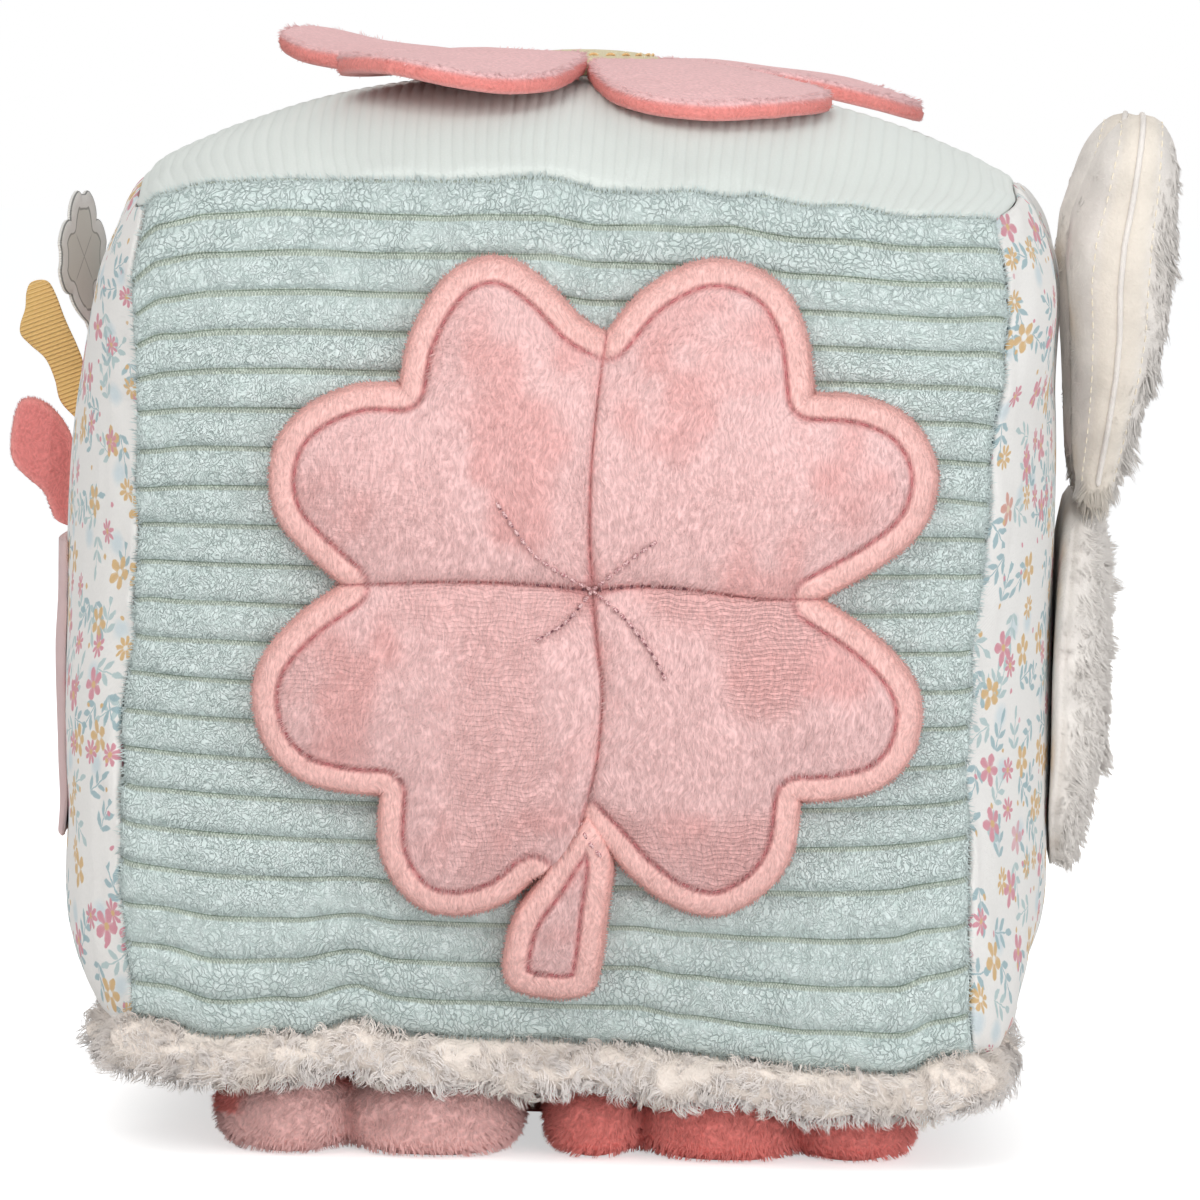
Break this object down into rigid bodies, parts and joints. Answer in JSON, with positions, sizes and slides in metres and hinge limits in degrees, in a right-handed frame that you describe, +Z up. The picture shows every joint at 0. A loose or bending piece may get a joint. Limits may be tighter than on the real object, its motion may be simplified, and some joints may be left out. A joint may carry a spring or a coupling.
{
  "type": "soft fabric activity block",
  "caption": "Stuffed fabric cube with a padded clover, a petal flower, a bunny with floppy ears, a lift flap, sewn-in tags and a stuffed butterfly underneath.",
  "frame": {"origin": "middle of the flat underside of the stuffed butterfly, on the surface the block stands on", "axes": "+Z up out of that surface, -Y the side with the clover, +X the side with the bunny"},
  "size_m": [0.2127, 0.189, 0.2025],
  "materials": {
    "ribbed_plush": "mint plush with wide ribs across",
    "fine_cord": "pale mint-grey fine corduroy",
    "floral_cotton": "off-white woven cotton with a small flower print",
    "sherpa": "cream curly pile",
    "stuffing": "white polyester fibre",
    "rattle_plastic": "moulded, satin",
    "bead_plastic": "moulded, satin",
    "clover_plush": "short pink plush",
    "clover_backing": "pink felt backing",
    "cream_cotton": "cream padded cotton",
    "petal_plush": "pink plush over a coral edge",
    "long_plush": "cream long pile",
    "pale_pink_cotton": "pale pink fine weave",
    "coral_plush": "coral short plush",
    "mustard_ribbon": "mustard ribbed ribbon",
    "grey_twill": "grey woven tag",
    "pale_pink_plush": "pale pink short plush"
  },
  "bodies": {
    "root": {"front_panel": "ribbed_plush", "back_panel": "ribbed_plush", "left_panel": "floral_cotton", "right_panel": "floral_cotton", "top_panel": "fine_cord", "bottom_panel": "sherpa", "stuffing_lower": "stuffing", "stuffing_upper": "stuffing", "rattle_cup_upper": "rattle_plastic", "rattle_cup_lower": "rattle_plastic", "rattle_bead_1": "bead_plastic", "rattle_bead_2": "bead_plastic", "rattle_bead_3": "bead_plastic", "clover_leaf_upper_left": "clover_plush", "clover_leaf_upper_right": "clover_plush", "clover_leaf_lower_left": "clover_plush", "clover_leaf_lower_right": "clover_plush", "clover_backing": "clover_backing", "clover_stem": "clover_plush", "flower_centre": "cream_cotton", "bunny_head": "long_plush", "butterfly_body": "pale_pink_plush"},
    "petal_1": {"petal_1": "petal_plush"},
    "petal_2": {"petal_2": "petal_plush"},
    "petal_3": {"petal_3": "petal_plush"},
    "petal_4": {"petal_4": "petal_plush"},
    "petal_5": {"petal_5": "petal_plush"},
    "bunny_ear_near": {"bunny_ear_near": "long_plush"},
    "bunny_ear_far": {"bunny_ear_far": "long_plush"},
    "side_flap": {"side_flap": "pale_pink_cotton"},
    "plush_tab": {"plush_tab": "coral_plush"},
    "ribbon_tag": {"ribbon_tag": "mustard_ribbon"},
    "clover_tag": {"clover_tag": "grey_twill"},
    "wing_near_left": {"wing_near_left": "pale_pink_plush"},
    "wing_near_right": {"wing_near_right": "coral_plush"},
    "wing_far_left": {"wing_far_left": "pale_pink_plush"},
    "wing_far_right": {"wing_far_right": "coral_plush"}
  },
  "joints": [
    {"name": "petal_1_lift", "type": "hinge", "parent": "root", "child": "petal_1", "pos_m": [0.01532, 0.00033, 0.1954], "axis": [0.309, -0.9511, 0], "range_deg": [0, 45]},
    {"name": "petal_2_lift", "type": "hinge", "parent": "root", "child": "petal_2", "pos_m": [0.002, 0.01, 0.1956], "axis": [1, 0, 0], "range_deg": [0, 45]},
    {"name": "petal_3_lift", "type": "hinge", "parent": "root", "child": "petal_3", "pos_m": [-0.01132, 0.00033, 0.19556], "axis": [0.309, 0.9511, 0], "range_deg": [0, 45]},
    {"name": "petal_4_lift", "type": "hinge", "parent": "root", "child": "petal_4", "pos_m": [-0.00623, -0.01533, 0.19537], "axis": [-0.809, 0.5878, 0], "range_deg": [0, 45]},
    {"name": "petal_5_lift", "type": "hinge", "parent": "root", "child": "petal_5", "pos_m": [0.01023, -0.01533, 0.19529], "axis": [-0.809, -0.5878, 0], "range_deg": [0, 45]},
    {"name": "bunny_ear_near_flop", "type": "hinge", "parent": "root", "child": "bunny_ear_near", "pos_m": [0.09482, -0.015, 0.11673], "axis": [0, 0.9511, 0.309], "range_deg": [-8, 75], "stiffness_Nm_per_rad": 0.002},
    {"name": "bunny_ear_far_flop", "type": "hinge", "parent": "root", "child": "bunny_ear_far", "pos_m": [0.09482, 0.015, 0.11673], "axis": [0, 0.9511, -0.309], "range_deg": [-8, 75], "stiffness_Nm_per_rad": 0.002},
    {"name": "side_flap_lift", "type": "hinge", "parent": "root", "child": "side_flap", "pos_m": [-0.09436, 0, 0.106], "axis": [0, 1, 0], "range_deg": [0, 90]},
    {"name": "plush_tab_swing", "type": "hinge", "parent": "root", "child": "plush_tab", "pos_m": [-0.09293, -0.004, 0.107], "axis": [0, 0, 1], "range_deg": [-35, 35], "stiffness_Nm_per_rad": 0.00002},
    {"name": "ribbon_tag_swing", "type": "hinge", "parent": "root", "child": "ribbon_tag", "pos_m": [-0.09152, -0.004, 0.127], "axis": [0, 0, 1], "range_deg": [-35, 35], "stiffness_Nm_per_rad": 0.00002},
    {"name": "clover_tag_bend", "type": "hinge", "parent": "root", "child": "clover_tag", "pos_m": [-0.08985, 0.016, 0.142], "axis": [0, -1, 0], "range_deg": [0, 75], "stiffness_Nm_per_rad": 0.0002},
    {"name": "wing_near_left_fold", "type": "hinge", "parent": "root", "child": "wing_near_left", "pos_m": [-0.0305, -0.0085, 0.007], "axis": [1, 0, 0], "range_deg": [0, 55], "stiffness_Nm_per_rad": 0.01},
    {"name": "wing_near_right_fold", "type": "hinge", "parent": "root", "child": "wing_near_right", "pos_m": [0.033, -0.0085, 0.007], "axis": [1, 0, 0], "range_deg": [0, 55], "stiffness_Nm_per_rad": 0.01},
    {"name": "wing_far_left_fold", "type": "hinge", "parent": "root", "child": "wing_far_left", "pos_m": [-0.0305, 0.0085, 0.007], "axis": [-1, 0, 0], "range_deg": [0, 55], "stiffness_Nm_per_rad": 0.01},
    {"name": "wing_far_right_fold", "type": "hinge", "parent": "root", "child": "wing_far_right", "pos_m": [0.033, 0.0085, 0.007], "axis": [-1, 0, 0], "range_deg": [0, 55], "stiffness_Nm_per_rad": 0.01}
  ]
}
